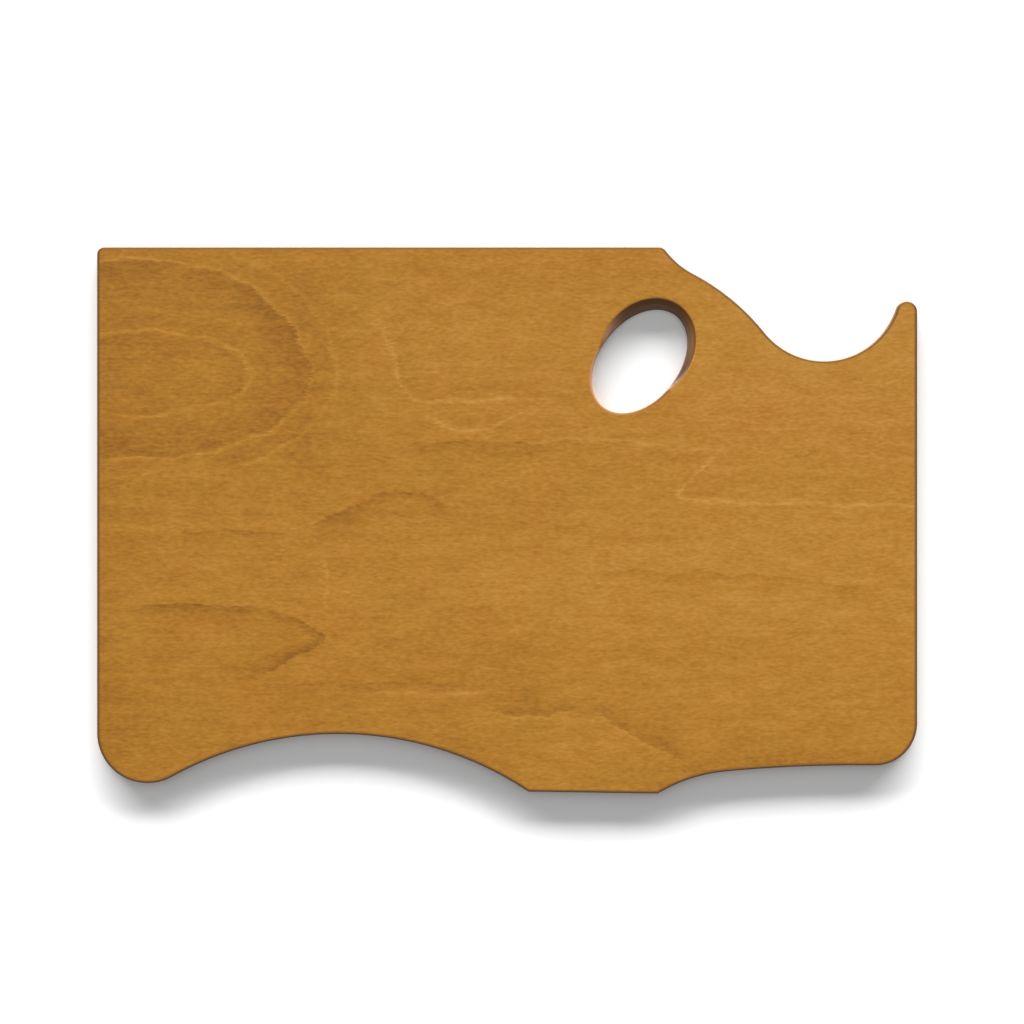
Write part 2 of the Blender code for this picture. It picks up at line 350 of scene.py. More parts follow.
def reach_of_bevel(thumb, point, way):
    """How far the bevel's rim lies from a point of the hole's wall. It is negative where the rim falls
    inside the hole."""
    _, middle, along, across = thumb_axes(thumb)
    offset = point - middle
    start = Vector((offset.dot(along) / thumb.bevel_length, offset.dot(across) / thumb.bevel_width)) * 2
    step = Vector((way.dot(along) / thumb.bevel_length, way.dot(across) / thumb.bevel_width)) * 2
    half = start.dot(step)
    spread = half**2 - step.length_squared * (start.length_squared - 1)
    return (math.sqrt(spread) - half) / step.length_squared if spread > 0 else -thumb.bevel_width


def guide_mesh(context):
    """The outline and the thumb hole as two loops of edges, which carry what the sweep needs."""
    form = context.scene.palette_outline
    thumb = context.scene.palette_thumb
    rim = outline(form)
    hole = thumb_hole(thumb, form.chord_error)
    ways = into_the_wood(rim) + into_the_wood(hole)
    never = -thumb.bevel_width
    reaches = [never] * len(rim)
    reaches += [reach_of_bevel(thumb, point, way) for point, way in zip(hole, ways[len(rim) :])]
    edges = [(place, (place + 1) % len(rim)) for place in range(len(rim))]
    edges += [(len(rim) + place, len(rim) + (place + 1) % len(hole)) for place in range(len(hole))]
    points = [point.to_3d() for point in rim + hole]

    mesh = bpy.data.meshes.new("palette_guide")
    mesh.from_pydata(points, edges, [])
    for name, vectors in ((SPOT, points), (INTO_WOOD, [way.to_3d() for way in ways])):
        layer = mesh.attributes.new(name, "FLOAT_VECTOR", "POINT")
        layer.data.foreach_set("vector", [part for vector in vectors for part in vector])
    mesh.attributes.new(BEVEL_REACH, "FLOAT", "POINT").data.foreach_set("value", reaches)
    return mesh


# Node building


class Wires:
    """Adds nodes to one tree. A value is a number, a colour or another node's output."""

    def __init__(self, tree):
        self.tree = tree

    def feed(self, socket, value):
        """Links a value to a socket, or sets it there."""
        if isinstance(value, bpy.types.NodeSocket):
            self.tree.links.new(value, socket)
        else:
            socket.default_value = (*value, 1) if isinstance(value, Color) else value

    def node(self, kind, inputs=None, **settings):
        """A new node with its settings and inputs."""
        made = self.tree.nodes.new(kind)
        for name, value in settings.items():
            setattr(made, name, value)
        for name, value in (inputs or {}).items():
            self.feed(made.inputs[name], value)
        return made

    def math(self, operation, *values):
        """A Math node's result."""
        made = self.node("ShaderNodeMath", operation=operation)
        for socket, value in zip(made.inputs, values):
            self.feed(socket, value)
        return made.outputs[0]

    def plus(self, first, second):
        """The sum of two values."""
        return self.math("ADD", first, second)

    def minus(self, first, second):
        """The first value less the second."""
        return self.math("SUBTRACT", first, second)

    def times(self, first, second):
        """The product of two values."""
        return self.math("MULTIPLY", first, second)

    def over(self, first, second):
        """The first value divided by the second."""
        return self.math("DIVIDE", first, second)

    def times_plus(self, first, second, third):
        """The product of two values, plus a third."""
        return self.math("MULTIPLY_ADD", first, second, third)

    def clamp(self, value):
        """A value kept from 0 to 1."""
        return self.node("ShaderNodeClamp", {"Value": value}).outputs[0]

    def parts(self, vector):
        """The X, Y and Z of a vector."""
        return self.node("ShaderNodeSeparateXYZ", {0: vector}).outputs

    def combined(self, x=0.0, y=0.0, z=0.0):
        """The vector with these parts."""
        return self.node("ShaderNodeCombineXYZ", {0: x, 1: y, 2: z}).outputs[0]

    def named(self, name, data_type):
        """A mesh attribute, in a Geometry Nodes tree."""
        return self.node("GeometryNodeInputNamedAttribute", {"Name": name}, data_type=data_type).outputs[0]

    def vector(self, operation, first, second=None, scale=None):
        """A Vector Math node's result."""
        made = self.node("ShaderNodeVectorMath", {0: first}, operation=operation)
        if second is not None:
            self.feed(made.inputs[1], second)
        if scale is not None:
            self.feed(made.inputs["Scale"], scale)
        return made.outputs["Value" if operation == "LENGTH" else "Vector"]

    def blend(self, factor, first, second):
        """The first colour where factor is 0, and the second where it is 1."""
        made = self.node("ShaderNodeMix", data_type="RGBA")
        for place, value in ((0, factor), (6, first), (7, second)):
            self.feed(made.inputs[place], value)
        return made.outputs[2]

    def ramp(self, value, start, end, low=0.0, high=1.0):
        """Value as it goes smoothly from low at start to high at end."""
        inputs = {"Value": value, "From Min": start, "From Max": end, "To Min": low, "To Max": high}
        return self.node("ShaderNodeMapRange", inputs, interpolation_type="SMOOTHSTEP").outputs[0]

    def noise(self, vector, scale, detail=2.0, roughness=0.5, seed=0.0):
        """A noise texture's value, about 0.5 in the middle."""
        inputs = {"Vector": vector, "W": seed, "Scale": scale, "Detail": detail, "Roughness": roughness}
        return self.node("ShaderNodeTexNoise", inputs, noise_dimensions="4D").outputs[0]

    def attribute(self, name):
        """A mesh attribute's number."""
        return self.node("ShaderNodeAttribute", attribute_name=name).outputs["Fac"]

    def group(self, tree, inputs):
        """A node that runs another tree."""
        made = self.node(self.tree.bl_idname.replace("NodeTree", "NodeGroup"))
        made.node_tree = tree
        for name, value in inputs.items():
            self.feed(made.inputs[name], value)
        return made


def new_tree(kind, name, inputs, outputs):
    """An empty node group with its sockets, the wires to build in it, and its inputs by name. An input
    comes with its default value, or with its socket's type where it has none."""
    tree = bpy.data.node_groups.new(name, kind)
    for label, default in inputs.items():
        has_none = isinstance(default, str)
        socket_type = "NodeSocket" + (default if has_none else type(default).__name__.title())
        socket = tree.interface.new_socket(label, in_out="INPUT", socket_type=socket_type)
        if not has_none:
            socket.default_value = default
    for label, socket_type in outputs.items():
        tree.interface.new_socket(label, in_out="OUTPUT", socket_type="NodeSocket" + socket_type)
    wires = Wires(tree)
    start = wires.node("NodeGroupInput")
    return tree, wires, {label: start.outputs[label] for label in inputs}


def finish_tree(wires, results):
    """Sends the results out of a node group."""
    wires.node("NodeGroupOutput", results)


# The sweep that makes a veneer

# The sweep's inputs, with the values that they start from
SWEEP_INPUTS = {
    "Low": 0.0,
    "High": 0.006,
    "Sheet Thickness": 0.006,
    "Rim Ease": 0.001,
    "Bevel Slope": 1.25,
    "Recess": 0.0,
    "Low Margin": 0.0,
    "High Margin": 0.0,
}

# The thumb bevel: the share of the rim's rounding that its lip takes, how softly it runs out into the wall,
# how far below the painting face its colour is whole, and the reach under which there is none of it
LIP_SHARE = 0.3
BEVEL_BLEND = 0.0004
BEVEL_FADE = 0.00012
NO_BEVEL = -0.004

# Rises on the two flats, and how far past 0 or 1 a rise is taken to be on a flat
ON_LOW_FLAT = -1.0
ON_HIGH_FLAT = 2.0
LEVEL_SLACK = 0.001

SHARP_ANGLE = math.radians(35)
WELD = 0.000002


def rim_place_tree():
    """Where a point of the wall lies: Rise is 0 at the veneer's underside and 1 at its upper side. Beyond
    these it lies on the flat, a margin further in."""
    outputs = {"Position": "Vector", "Round": "Float", "Bevelled": "Float", "Faces East": "Float"}
    tree, wires, given = new_tree(
        "GeometryNodeTree", "veneer_rim_place", {"Rise": 0.0} | SWEEP_INPUTS, outputs
    )
    spot = wires.named(SPOT, "FLOAT_VECTOR")
    into_wood = wires.named(INTO_WOOD, "FLOAT_VECTOR")
    reach = wires.named(BEVEL_REACH, "FLOAT")

    # Levels crowd towards both sides of the veneer, where its rim turns fastest.
    turned = wires.math("COSINE", wires.times(wires.clamp(given["Rise"]), math.pi))
    share = wires.times(wires.minus(1.0, turned), 0.5)
    thickness = wires.minus(given["High"], given["Low"])
    height = wires.times_plus(share, thickness, given["Low"])
    depth = wires.minus(given["Sheet Thickness"], height)

    # A quarter round, tangent to the face and to the wall
    nearest = wires.math("MINIMUM", height, depth)
    missing = wires.math("MAXIMUM", wires.minus(given["Rim Ease"], nearest), 0.0)
    square = wires.times(given["Rim Ease"], given["Rim Ease"])
    left_over = wires.minus(square, wires.times(missing, missing))
    root = wires.math("SQRT", wires.math("MAXIMUM", left_over, 0.0))
    ease = wires.minus(given["Rim Ease"], root)

    # The thumb bevel, with a sanded lip
    slope_part = wires.times(depth, given["Bevel Slope"])
    lip = wires.times(ease, LIP_SHARE)
    bevel = wires.plus(wires.minus(reach, slope_part), lip)
    inset = wires.math("SMOOTH_MAX", ease, bevel, BEVEL_BLEND)
    near_bevel = wires.math("GREATER_THAN", reach, NO_BEVEL)
    inset = wires.math("MAXIMUM", wires.times(inset, near_bevel), ease)

    above = wires.math("GREATER_THAN", given["Rise"], 1.0 + LEVEL_SLACK)
    below = wires.math("LESS_THAN", given["Rise"], -LEVEL_SLACK)
    whole = wires.plus(inset, given["Recess"])
    whole = wires.times_plus(above, given["High Margin"], whole)
    whole = wires.times_plus(below, given["Low Margin"], whole)
    moved = wires.vector("ADD", spot, wires.vector("SCALE", into_wood, scale=whole))
    position = wires.vector("ADD", moved, wires.combined(z=height))

    # What the materials read
    bevelled = wires.clamp(wires.over(wires.minus(bevel, ease), BEVEL_BLEND))
    on_flat = wires.math("MAXIMUM", above, below)
    rounded = wires.minus(wires.minus(1.0, bevelled), on_flat)
    bevelled = wires.times(bevelled, wires.ramp(depth, 0.0, BEVEL_FADE))
    east = wires.math("ABSOLUTE", wires.parts(wires.vector("NORMALIZE", into_wood))[0])
    results = {"Position": position, "Round": rounded, "Bevelled": bevelled, "Faces East": east}
    finish_tree(wires, results)
    return tree


def placed(wires, rim_place, geometry, rise, sizes):
    """Geometry moved to its place on the rim, with the attributes that the materials read."""
    place = wires.group(rim_place, sizes | {"Rise": rise})
    found = {ROUND: "Round", BEVELLED: "Bevelled", FACES_EAST: "Faces East"}
    values = {name: place.outputs[label] for name, label in found.items()} | {RISE: rise}
    for name, value in values.items():
        inputs = {"Geometry": geometry, "Name": name, "Value": value}
        geometry = wires.node("GeometryNodeStoreNamedAttribute", inputs, data_type="FLOAT").outputs[0]
    inputs = {"Geometry": geometry, "Position": place.outputs["Position"]}
    return wires.node("GeometryNodeSetPosition", inputs).outputs[0]


def veneer_tree():
    """Sweeps a level profile round the guide loops, closes it with two flat sides, and welds them."""
    inputs = {"Geometry": "Geometry"} | SWEEP_INPUTS
    inputs |= {"Levels": 8, "Finish": "Material"}
    tree, wires, given = new_tree("GeometryNodeTree", "veneer", inputs, {"Geometry": "Geometry"})
    sizes = {name: given[name] for name in SWEEP_INPUTS}
    rim_place = rim_place_tree()
    loops = wires.node("GeometryNodeMeshToCurve", {"Mesh": given["Geometry"]}).outputs[0]

    line = wires.node("GeometryNodeCurvePrimitiveLine").outputs[0]
    levels = wires.node("GeometryNodeResampleCurve", {"Curve": line, "Count": given["Levels"]}).outputs[0]
    factor = wires.node("GeometryNodeSplineParameter").outputs["Factor"]
    # The first and the last level lie on the flats, so the wall's levels are two fewer.
    steps = wires.minus(given["Levels"], 3.0)
    lengthened = wires.over(wires.minus(given["Levels"], 1.0), steps)
    first = wires.over(-1.0, steps)
    rise = wires.times_plus(factor, lengthened, first)
    inputs = {"Geometry": levels, "Name": RISE, "Value": rise}
    profile = wires.node("GeometryNodeStoreNamedAttribute", inputs, data_type="FLOAT").outputs[0]
    inputs = {"Curve": loops, "Profile Curve": profile}
    swept = wires.node("GeometryNodeCurveToMesh", inputs).outputs[0]
    wall = placed(wires, rim_place, swept, wires.named(RISE, "FLOAT"), sizes)
    wall = wires.node("GeometryNodeFlipFaces", {"Mesh": wall}).outputs[0]
    wall = wires.node("GeometryNodeSetShadeSmooth", {"Geometry": wall}).outputs[0]

    sides = []
    for level, height in ((ON_LOW_FLAT, given["Low"]), (ON_HIGH_FLAT, given["High"])):
        rim = placed(wires, rim_place, loops, level, sizes)
        side = wires.node("GeometryNodeFillCurve", {"Curve": rim}).outputs[0]
        lifted = {"Geometry": side, "Offset": wires.combined(z=height)}
        side = wires.node("GeometryNodeSetPosition", lifted).outputs[0]
        if level == ON_LOW_FLAT:
            side = wires.node("GeometryNodeFlipFaces", {"Mesh": side}).outputs[0]
        flat = {"Geometry": side, "Shade Smooth": False}
        sides.append(wires.node("GeometryNodeSetShadeSmooth", flat).outputs[0])

    joined = wires.node("GeometryNodeJoinGeometry")
    for part in (wall, *sides):
        wires.tree.links.new(part, joined.inputs[0])
    inputs = {"Geometry": joined.outputs[0], "Distance": WELD}
    welded = wires.node("GeometryNodeMergeByDistance", inputs).outputs[0]
    turn = wires.node("GeometryNodeInputMeshEdgeAngle").outputs["Unsigned Angle"]
    sharp = wires.math("GREATER_THAN", turn, SHARP_ANGLE)
    inputs = {"Geometry": welded, "Selection": sharp, "Shade Smooth": False}
    creased = wires.node("GeometryNodeSetShadeSmooth", inputs, domain="EDGE").outputs[0]
    real = wires.node("GeometryNodeRealizeInstances", {"Geometry": creased}).outputs[0]
    inputs = {"Geometry": real, "Material": given["Finish"]}
    coated = wires.node("GeometryNodeSetMaterial", inputs).outputs[0]
    finish_tree(wires, {"Geometry": coated})
    return tree


def set_inputs(modifier, values):
    """Sets a Geometry Nodes modifier's inputs through their sockets' identifiers."""
    for item in modifier.node_group.interface.items_tree:
        if item.item_type == "SOCKET" and item.in_out == "INPUT" and item.name in values:
            modifier[item.identifier] = values[item.name]


def swept_veneer(context, node, values):
    """Runs the sweep for one veneer and leaves a plain mesh that stands for its CAD node."""
    tree = bpy.data.node_groups.get("veneer") or veneer_tree()
    guide = bpy.data.objects.new(node + "_guide", guide_mesh(context))
    context.scene.collection.objects.link(guide)
    modifier = guide.modifiers.new("sweep", "NODES")
    modifier.node_group = tree
    set_inputs(modifier, values)
    context.view_layer.update()
    evaluated = guide.evaluated_get(context.evaluated_depsgraph_get())
    mesh = bpy.data.meshes.new_from_object(evaluated)
    bpy.data.objects.remove(guide, do_unlink=True)
    if not mesh.polygons:
        raise RuntimeError(node + " came out of the sweep with no faces")
    for name in (SPOT, INTO_WOOD, BEVEL_REACH):
        mesh.attributes.remove(mesh.attributes[name])

    mesh.name = node + "_skin"
    veneer = bpy.data.objects.new(node + "_skin", mesh)
    context.scene.collection.objects.link(veneer)
    return veneer


def veneer_heights(node, glue_line):
    """The veneer's underside and upper side. Neighbours meet in the middle of the CAD's glue line."""
    place = PLIES.index(node)
    low, high = (corner.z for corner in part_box(node))
    if place > 0:
        low = (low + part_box(PLIES[place - 1])[1].z + glue_line) / 2
    if place < len(PLIES) - 1:
        high = (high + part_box(PLIES[place + 1])[0].z - glue_line) / 2
    return low, high


def build_veneer(context, node, material, levels, recess):
    """Makes one veneer and fastens it to the frame."""
    sheet = context.scene.palette_sheet
    low, high = veneer_heights(node, sheet.glue_line)
    values = {
        "Low": low,
        "High": high,
        "Sheet Thickness": SHEET_THICKNESS,
        "Rim Ease": sheet.rim_ease,
        "Bevel Slope": context.scene.palette_thumb.bevel_slope,
        "Recess": recess,
        "Low Margin": sheet.margin if low == 0.0 else 0.0,
        "High Margin": sheet.margin if high == SHEET_THICKNESS else 0.0,
        "Levels": levels,
        "Finish": material,
    }
    veneer = swept_veneer(context, node, values)
    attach(veneer, "root")
    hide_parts(node)
    return veneer


# The woods

# The growth lines of the face veneer, in metres and degrees. An arch is half an ellipse about a centre: its
# length towards +X, its rise above the centre and its fall below. Then how pale its line is, how dark the
# band inside it is, and how wide that band is.
ARCHES = {
    "inner": ((-0.205, 0.081), 0.062, 0.024, 0.022, 0.20, 0.08, 0.006),
    "middle": ((-0.205, 0.081), 0.095, 0.064, 0.046, 0.22, 0.20, 0.011),
    "outer": ((-0.205, 0.081), 0.110, 0.076, 0.057, 0.15, 0.06, 0.006),
}

# A bend is a rounded corner with two arms: its apex, the bearing that it points to, how far its arms fall
# back for each metre across, its roundness, and how far it shows to its left and its right. Then as above.
BENDS = {
    "gate": ((-0.055, 0.069), 233, 0.80, 0.006, 0.075, 0.045, 0.24, 0.05, 0.008),
    "purse": ((-0.021, 0.0485), -90, 0.55, 0.010, 0.032, 0.030, 0.24, 0.00, 0.006),
    "under purse": ((-0.015, 0.044), 90, 0.04, 0.010, 0.045, 0.045, 0.00, 0.15, 0.008),
    "east run": ((0.066, 0.043), 86, 0.05, 0.010, 0.065, 0.062, 0.18, 0.07, 0.006),
    "vee": ((0.096, 0.013), 202, 2.35, 0.003, 0.070, 0.016, 0.22, 0.00, 0.005),
    "ridge": ((-0.058, 0.0165), 90, 0.40, 0.006, 0.062, 0.036, 0.00, 0.25, 0.005),
    "ridge west": ((-0.155, -0.006), 90, 0.02, 0.010, 0.035, 0.035, 0.00, 0.22, 0.003),
    "ridge east": ((0.012, -0.001), 88, 0.03, 0.010, 0.045, 0.045, 0.00, 0.15, 0.003),
    "west pool": ((-0.171, -0.047), 88, 0.02, 0.010, 0.040, 0.036, 0.00, 0.30, 0.005),
    "hook": ((-0.101, -0.066), 0, 2.10, 0.003, 0.018, 0.024, 0.00, 0.32, 0.005),
    "hook foot": ((-0.080, -0.090), 90, 0.02, 0.010, 0.065, 0.070, 0.00, 0.22, 0.003),
    "south run": ((-0.050, -0.097), -90, 0.02, 0.010, 0.038, 0.037, 0.20, 0.12, 0.003),
    "south step": ((0.014, -0.109), -90, 0.15, 0.008, 0.028, 0.026, 0.16, 0.26, 0.006),
    "south east": ((0.072, -0.122), -117, 0.12, 0.010, 0.030, 0.034, 0.12, 0.26, 0.007),
    "short rise": ((-0.101, -0.036), 5, 0.15, 0.010, 0.017, 0.017, 0.18, 0.00, 0.004),
    "east streak": ((0.135, -0.030), 86, 0.06, 0.020, 0.085, 0.085, 0.00, 0.20, 0.004),
}

# Where the veneer took more stain or less, with broad painted light and shade: paler at the right, darker at
# the left end and along the bottom. Each has its middle, half the length, half the height and the tone
STAIN_AND_PAINTED_LIGHT_PATCHES = {
    # Painted light, paler towards the right
    "right top": ((0.180, 0.100), 0.130, 0.085, 0.26),
    "right middle": ((0.165, -0.040), 0.150, 0.050, 0.21),
    # Painted shade, darker at the left end
    "left edge": ((-0.226, 0.075), 0.045, 0.100, -0.24),
    "left side": ((-0.232, -0.020), 0.018, 0.140, -0.14),
    "cathedral": ((-0.140, 0.112), 0.075, 0.050, -0.18),
    "cathedral east": ((-0.116, 0.088), 0.028, 0.065, -0.15),
    "below cathedral": ((-0.130, 0.040), 0.065, 0.026, -0.13),
    "inside gate": ((-0.038, 0.100), 0.058, 0.024, 0.14),
    "above hole": ((0.061, 0.136), 0.036, 0.018, -0.15),
    "middle pale": ((0.035, -0.033), 0.060, 0.020, 0.12),
    "east dark": ((0.112, -0.070), 0.036, 0.012, -0.13),
    # Painted shade, darker along the bottom edge
    "bottom right": ((0.165, -0.143), 0.100, 0.016, -0.36),
    "bottom left": ((-0.170, -0.120), 0.120, 0.050, -0.15),
    "left foot": ((-0.224, -0.115), 0.030, 0.050, -0.18),
    "belly right": ((-0.026, -0.131), 0.026, 0.012, -0.20),
    "tab": ((0.061, -0.128), 0.036, 0.020, 0.10),
    "red middle": ((-0.015, -0.075), 0.060, 0.014, -0.13),
    "red foot": ((0.010, -0.100), 0.016, 0.018, -0.10),
}

# Where the stain is warmer, in the same terms, and how much
WARM_PATCHES = {
    "top": ((0.040, 0.150), 0.090, 0.022, 0.7),
    "east": ((0.150, 0.055), 0.110, 0.028, 0.9),
    "middle": ((-0.015, -0.075), 0.060, 0.014, 0.6),
    "bottom left": ((-0.120, -0.098), 0.030, 0.022, 0.6),
}

# The noises of the wood, in fibres: how fine, how much detail, how rough, and how far the seed is stepped on.
# Streaks are drawn out further than fibres. A pore shows where its noise is within its range or above.
WOOD_NOISES = {
    "Fibre": (0.9, 3.0, 0.62, 0.0),
    "Mottle": (0.17, 3.0, 0.55, 3.1),
    "Streak": (1.0, 2.0, 0.55, 5.2),
    "Pore": (1.9, 1.0, 0.5, 7.3),
}
STREAK_STRETCH = (0.08, 0.45, 0.45)
PORE_RANGE = (0.62, 0.78)
NOISE_MIDDLE = 0.5

# How growth lines wander and feather: how fine, and how far they are moved in metres
WANDER_SCALE = 55.0
WANDER_EAST = 0.012
WANDER_NORTH = 0.010
FEATHER_SCALE = 1100.0
FEATHER_STRETCH = 0.12
FEATHER_EAST = 0.014

# How growth lines fade here and there, and towards the ends of a bend. A range of four gives the two ends
# of what is read and the two ends of what it becomes.
FADE_SCALE = 90.0
FADE_RANGE = (0.30, 0.62, 0.55, 1.15)
BEND_END = (0.6, 1.05, 1.0, 0.0)

# The noise that turns the stain warmer, and its share in it
WARMTH_SCALE = 38.0
WARMTH_RANGE = (0.35, 0.68)
WARMTH_SHARE = 0.5

# Steps between the seeds of one material's noises
SEED_EAST = 11.0
SEED_NORTH = 17.0
SEED_FADE = 29.0
SEED_WARMTH = 40.0

# How much each part of the wood changes the tone of the stain
FIBRE_TONE = 1.95
MOTTLE_TONE = 1.0
STREAK_TONE = 0.5
PORE_TONE = -0.22
RING_TONE = 2.3

# How much the fibre changes the gloss, and how it stands out
FACE_GLOSS = 0.25
EDGE_GLOSS = 0.3
FACE_RELIEF = 0.15
EDGE_RELIEF = 0.35
RELIEF_HEIGHT = 0.0001

# The sawn edges of the inner veneers: their fibres, the contrast and the middle of the dark streaks that
# these make, how dark the streaks are, and how much the edges shine
EDGE_FIBRE = {"Fibre Length": 0.004, "Fibre Width": 0.0004}
EDGE_CONTRAST = (2.0, 0.4)
EDGE_DARKENING = 0.5
EDGE_SHINE = 0.15

# How far an edge faces along the fibres where its end grain starts and ends, and how near the sides of an
# inner veneer its glue shows
END_GRAIN_RANGE = (0.15, 0.95)
GLUE_RANGE = (0.03, 0.12, 0.9, 0.0)

# Between these heights, as shares of the sheet, the bevel's stain thins out
STAINED_ABOVE = 0.9
BARE_BELOW = 1 / 3

# Stretches of the thumb hole's wall where shade and light are painted: the middle of each, half its length
# and half its height
PAINTED_SHADE_END = ((0.100, 0.081), 0.012, 0.014)
PAINTED_LIGHT_END = ((0.054, 0.1075), 0.009, 0.009)
PAINTED_LIGHT_RIM = ((0.052, 0.072), 0.024, 0.030)


def falling(wires, value):
    """One where value is 0, and falling away on both sides as a bell does."""
    return wires.math("EXPONENT", wires.times(wires.times(value, value), -1.0))


def fibre_tree():
    """Wood fibre, pores and mottle, drawn out along X."""
    inputs = {"Vector": "Vector", "Fibre Length": 0.0034, "Fibre Width": 0.0011, "Seed": 0.0}
    outputs = {name: "Float" for name in WOOD_NOISES}
    tree, wires, given = new_tree("ShaderNodeTree", "wood_fibre", inputs, outputs)
    lengths = (given["Fibre Length"], given["Fibre Width"], given["Fibre Width"])
    parts = zip(wires.parts(given["Vector"]), lengths)
    drawn = wires.combined(*(wires.over(part, size) for part, size in parts))
    places = {"Streak": wires.vector("MULTIPLY", drawn, STREAK_STRETCH)}
    values = {}
    for name, (scale, detail, roughness, step) in WOOD_NOISES.items():
        seed = wires.plus(given["Seed"], step)
        values[name] = wires.noise(places.get(name, drawn), scale, detail, roughness, seed)
    results = {"Pore": wires.ramp(values.pop("Pore"), *PORE_RANGE)}
    results |= {name: wires.minus(value, NOISE_MIDDLE) for name, value in values.items()}
    finish_tree(wires, results)
    return tree


def arch_tree():
    """How far a point lies outside an arch: negative inside it."""
    inputs = {"Vector": "Vector", "Centre": "Vector", "Length": 0.1, "Rise": 0.05, "Fall": 0.05}
    tree, wires, given = new_tree("ShaderNodeTree", "growth_arch", inputs, {"Distance": "Float"})
    along, across, _ = wires.parts(wires.vector("SUBTRACT", given["Vector"], given["Centre"]))
    above = wires.math("GREATER_THAN", across, 0.0)
    height = wires.times_plus(above, wires.minus(given["Rise"], given["Fall"]), given["Fall"])
    across = wires.over(across, height)
    along = wires.over(along, given["Length"])
    whole = wires.vector("LENGTH", wires.combined(along, across))
    steep = wires.combined(wires.over(along, given["Length"]), wires.over(across, height))
    outside = wires.times(whole, wires.minus(whole, 1.0))
    finish_tree(wires, {"Distance": wires.over(outside, wires.vector("LENGTH", steep))})
    return tree


def bend_tree():
    """How far a point lies outside a bend, and how much of the bend is left there."""
    inputs = {"Vector": "Vector", "Apex": "Vector", "Bearing": 0.0, "Spread": 1.0, "Roundness": 0.01}
    inputs |= {"Left Reach": 0.05, "Right Reach": 0.05}
    outputs = {"Distance": "Float", "Presence": "Float"}
    tree, wires, given = new_tree("ShaderNodeTree", "growth_bend", inputs, outputs)
    offset = wires.vector("SUBTRACT", given["Vector"], given["Apex"])
    turned = {"Vector": offset, "Angle": wires.times(given["Bearing"], -1.0)}
    level = wires.node("ShaderNodeVectorRotate", turned, rotation_type="Z_AXIS").outputs[0]
    along, across, _ = wires.parts(level)
    square = wires.times(given["Roundness"], given["Roundness"])
    arm = wires.math("SQRT", wires.times_plus(across, across, square))
    back = wires.minus(arm, given["Roundness"])
    behind = wires.times_plus(back, given["Spread"], along)
    slope = wires.times(wires.over(across, arm), given["Spread"])
    steep = wires.math("SQRT", wires.times_plus(slope, slope, 1.0))
    left = wires.math("GREATER_THAN", across, 0.0)
    reaches = wires.minus(given["Left Reach"], given["Right Reach"])
    reach = wires.times_plus(left, reaches, given["Right Reach"])
    share = wires.over(wires.math("ABSOLUTE", across), reach)
    finish_tree(wires, {"Distance": wires.over(behind, steep), "Presence": wires.ramp(share, *BEND_END)})
    return tree


def ring_tree():
    """The tone of one growth line: a thin pale line with a dark band on its inner side."""
    inputs = {"Distance": 0.0, "Presence": 1.0, "Pale": 0.2, "Dark": 0.1}
    inputs |= {"Band Width": 0.005, "Line Width": 0.0012}
    tree, wires, given = new_tree("ShaderNodeTree", "growth_ring", inputs, {"Tone": "Float"})
    line = falling(wires, wires.over(given["Distance"], given["Line Width"]))
    inside = wires.math("LESS_THAN", given["Distance"], 0.0)
    share = wires.over(given["Distance"], given["Band Width"])
    band = wires.times(wires.math("EXPONENT", wires.math("MINIMUM", share, 0.0)), inside)
    light = wires.times(line, given["Pale"])
    shade = wires.times(band, given["Dark"])
    finish_tree(wires, {"Tone": wires.times(wires.minus(light, shade), given["Presence"])})
    return tree


def patch_tree():
    """A soft oval patch: 1 in its middle."""
    inputs = {"Vector": "Vector", "Middle": "Vector", "Size": "Vector"}
    tree, wires, given = new_tree("ShaderNodeTree", "soft_patch", inputs, {"Patch": "Float"})
    offset = wires.vector("SUBTRACT", given["Vector"], given["Middle"])
    share = wires.vector("LENGTH", wires.vector("DIVIDE", offset, given["Size"]))
    finish_tree(wires, {"Patch": falling(wires, share)})
    return tree


def shader_group(name, build):
    """A shader node group, built once."""
    return bpy.data.node_groups.get(name) or build()


def patch(wires, spot, middle, across, high):
    """How much of a soft patch lies at a point: its middle, half its length and half its height."""
    sizes = {"Vector": spot, "Middle": (*middle, 0.0), "Size": (across, high, 1.0)}
    return wires.group(shader_group("soft_patch", patch_tree), sizes).outputs["Patch"]


def rings(wires, spot):
    """The tones of all the growth lines, added up."""
    found = []
    arch = shader_group("growth_arch", arch_tree)
    for centre, reach, rise, fall, *look in ARCHES.values():
        sizes = {"Vector": spot, "Centre": (*centre, 0.0), "Length": reach, "Rise": rise, "Fall": fall}
        found.append((wires.group(arch, sizes).outputs, look))
    bend = shader_group("growth_bend", bend_tree)
    for apex, degrees, spread, roundness, left, right, *look in BENDS.values():
        sizes = {"Vector": spot, "Apex": (*apex, 0.0), "Bearing": math.radians(degrees), "Spread": spread}
        sizes |= {"Roundness": roundness, "Left Reach": left, "Right Reach": right}
        found.append((wires.group(bend, sizes).outputs, look))

    tone = 0.0
    ring = shader_group("growth_ring", ring_tree)
    for outputs, (pale, dark, band) in found:
        sizes = {"Pale": pale, "Dark": dark, "Band Width": band} | dict(outputs.items())
        tone = wires.plus(tone, wires.group(ring, sizes).outputs["Tone"])
    return tone


